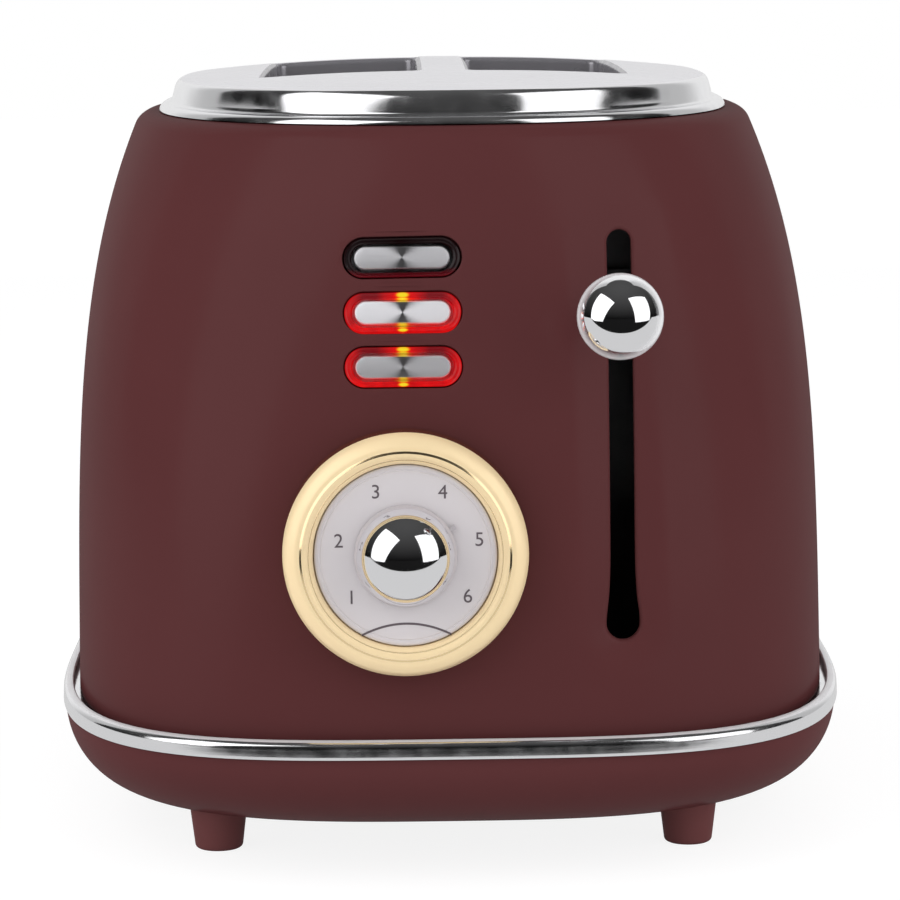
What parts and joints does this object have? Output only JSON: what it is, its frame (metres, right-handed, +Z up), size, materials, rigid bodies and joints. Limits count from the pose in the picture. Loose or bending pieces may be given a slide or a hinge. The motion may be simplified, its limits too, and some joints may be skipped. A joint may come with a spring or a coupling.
{
  "type": "electric toaster",
  "caption": "Barrel-shaped two-slot toaster with a lever that lowers the bread, push buttons in light rings, a browning knob on one end and a crumb tray at the other.",
  "frame": {"origin": "on the table, under the middle of the outer box", "axes": "+Z up, +Y along the bread slots towards the rear, so the controls face -Y, +X to the right as seen from the controls"},
  "size_m": [0.1978, 0.313, 0.189],
  "materials": {
    "body_red": "dark red, satin lacquer",
    "base_red": "dark red, satin",
    "band_chrome": "mirror polish",
    "knob_chrome": "mirror polish",
    "satin_steel": "satin, finely brushed",
    "gold_trim": "pale gold, polished",
    "dial_grey": "warm grey, satin",
    "red_lens": "clear red, lit from behind",
    "unlit_lens": "clear red, unlit",
    "black_plastic": "fine grain",
    "inner_steel": "plain stainless",
    "reflector": "bright reflector sheet",
    "zinc_sheet": "zinc-coated sheet",
    "dark_steel": "oiled steel",
    "polished_rod": "ground and polished",
    "mica_board": "mica sheet",
    "circuit_board": "green board",
    "copper_winding": "lacquered copper wire"
  },
  "bodies": {
    "housing": {"upper_shell": "body_red", "base_tub": "base_red", "trim_band": "band_chrome", "top_plate": "satin_steel", "dial_bezel": "gold_trim", "dial_face": "dial_grey", "potentiometer": "zinc_sheet", "control_board": "circuit_board", "button_board": "circuit_board", "power_board": "circuit_board", "lever_shroud": "black_plastic", "guide_rod": "polished_rod", "return_spring": "dark_steel", "magnet_core": "dark_steel", "magnet_coil": "copper_winding", "chassis_base": "zinc_sheet", "chassis_front": "zinc_sheet", "chassis_rear": "zinc_sheet", "side_plate_left": "reflector", "side_plate_right": "reflector", "heater_left": "mica_board", "heater_centre": "mica_board", "heater_right": "mica_board", "cord_gland": "black_plastic", "defrost_light_ring": "unlit_lens", "reheat_light_ring": "red_lens", "cancel_light_ring": "red_lens", "defrost_switch": "black_plastic", "reheat_switch": "black_plastic", "cancel_switch": "black_plastic", "foot_front_left": "base_red", "base_screw_front_left": "zinc_sheet", "foot_front_right": "base_red", "base_screw_front_right": "zinc_sheet", "foot_rear_left": "base_red", "base_screw_rear_left": "zinc_sheet", "foot_rear_right": "base_red", "base_screw_rear_right": "zinc_sheet"},
    "lever": {"lever_knob": "knob_chrome", "lever_arm": "inner_steel", "carriage": "zinc_sheet", "armature": "dark_steel", "bread_rack_left": "inner_steel", "bread_rack_right": "inner_steel"},
    "browning_control": {"browning_knob": "knob_chrome", "knob_shaft": "inner_steel"},
    "defrost": {"defrost_button": "satin_steel"},
    "reheat": {"reheat_button": "satin_steel"},
    "cancel": {"cancel_button": "satin_steel"},
    "guide_left_outer": {"bread_guide_left_outer": "inner_steel"},
    "guide_left_inner": {"bread_guide_left_inner": "inner_steel"},
    "guide_right_inner": {"bread_guide_right_inner": "inner_steel"},
    "guide_right_outer": {"bread_guide_right_outer": "inner_steel"},
    "tray": {"crumb_tray": "zinc_sheet", "tray_pull": "black_plastic"}
  },
  "joints": [
    {"name": "lever_slide", "type": "slide", "parent": "housing", "child": "lever", "axis": [0, 0, 1], "range_m": [-0.073, 0.014], "stiffness_N_per_m": 150, "springref_m": 0.00981, "deforming": ["return_spring"]},
    {"name": "browning_turn", "type": "hinge", "parent": "housing", "child": "browning_control", "pos_m": [-0.011, -0.13505, 0.08], "axis": [0, 1, 0], "range_deg": [-186, 66]},
    {"name": "defrost_press", "type": "slide", "parent": "housing", "child": "defrost", "axis": [0, 0.9742, -0.2257], "range_m": [0, 0.0015], "stiffness_N_per_m": 400, "springref_m": -0.0005},
    {"name": "reheat_press", "type": "slide", "parent": "housing", "child": "reheat", "axis": [0, 0.9864, -0.1645], "range_m": [0, 0.0015], "stiffness_N_per_m": 400, "springref_m": -0.0005},
    {"name": "cancel_press", "type": "slide", "parent": "housing", "child": "cancel", "axis": [0, 0.9935, -0.114], "range_m": [0, 0.0015], "stiffness_N_per_m": 400, "springref_m": -0.0005},
    {"name": "guide_left_outer_lean", "type": "hinge", "parent": "housing", "child": "guide_left_outer", "pos_m": [-0.0435, 0, 0.0349], "axis": [0, 1, 0], "range_deg": [-0.5, 2.6]},
    {"name": "guide_left_inner_lean", "type": "hinge", "parent": "housing", "child": "guide_left_inner", "pos_m": [-0.0082, 0, 0.0349], "axis": [0, 1, 0], "range_deg": [-2.6, 0.5]},
    {"name": "guide_right_inner_lean", "type": "hinge", "parent": "housing", "child": "guide_right_inner", "pos_m": [0.0082, 0, 0.0349], "axis": [0, 1, 0], "range_deg": [-0.5, 2.6]},
    {"name": "guide_right_outer_lean", "type": "hinge", "parent": "housing", "child": "guide_right_outer", "pos_m": [0.0435, 0, 0.0349], "axis": [0, 1, 0], "range_deg": [-2.6, 0.5]},
    {"name": "tray_slide", "type": "slide", "parent": "housing", "child": "tray", "axis": [0, 1, 0], "range_m": [0, 0.18]}
  ],
  "couplings": [
    {"joint": "guide_left_outer_lean", "follows": "lever_slide", "rad_per_m": -0.6},
    {"joint": "guide_left_inner_lean", "follows": "lever_slide", "rad_per_m": 0.6},
    {"joint": "guide_right_inner_lean", "follows": "lever_slide", "rad_per_m": -0.6},
    {"joint": "guide_right_outer_lean", "follows": "lever_slide", "rad_per_m": 0.6}
  ]
}
